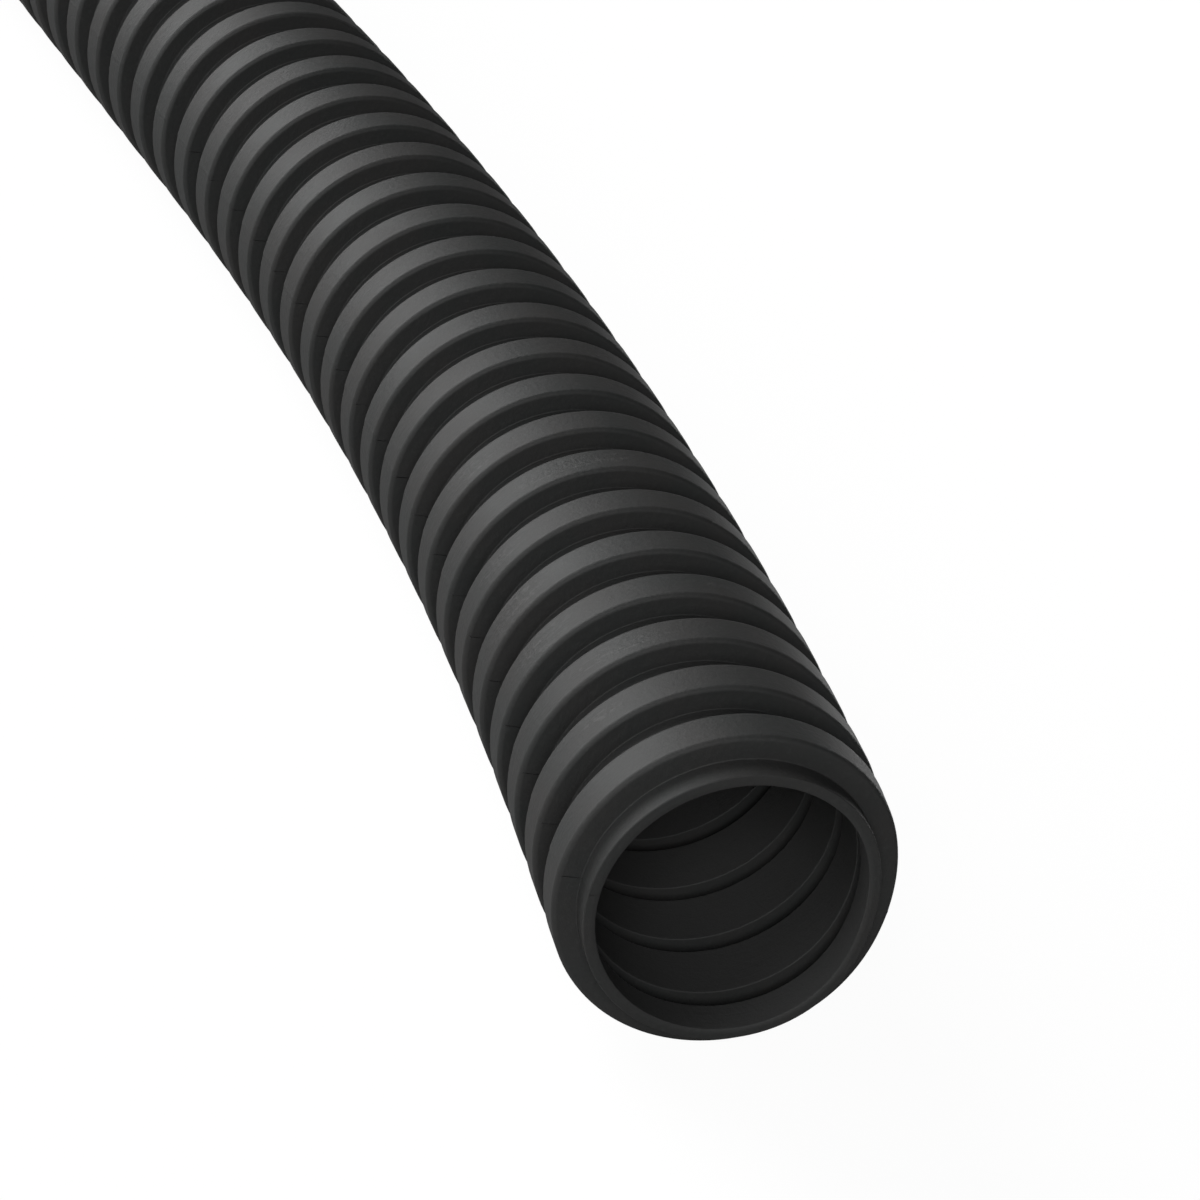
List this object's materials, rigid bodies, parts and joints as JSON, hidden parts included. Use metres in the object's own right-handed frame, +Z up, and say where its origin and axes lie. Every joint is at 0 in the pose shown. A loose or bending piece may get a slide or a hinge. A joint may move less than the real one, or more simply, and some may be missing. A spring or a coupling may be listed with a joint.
{
  "type": "corrugated conduit",
  "caption": "Black ring-ribbed plastic conduit, a hollow tube cut square at both ends, straight but for a gentle bend near one mouth.",
  "frame": {"origin": "middle of the underside of the tube's box, on the floor it lies on", "axes": "+X along the straight run, out of its mouth; +Y to the side that the bend turns its mouth to; +Z up"},
  "size_m": [1.0004, 0.0226, 0.013],
  "materials": {
    "polyamide": "matte, black"
  },
  "bodies": {
    "root": {"conduit": "polyamide"}
  },
  "joints": []
}
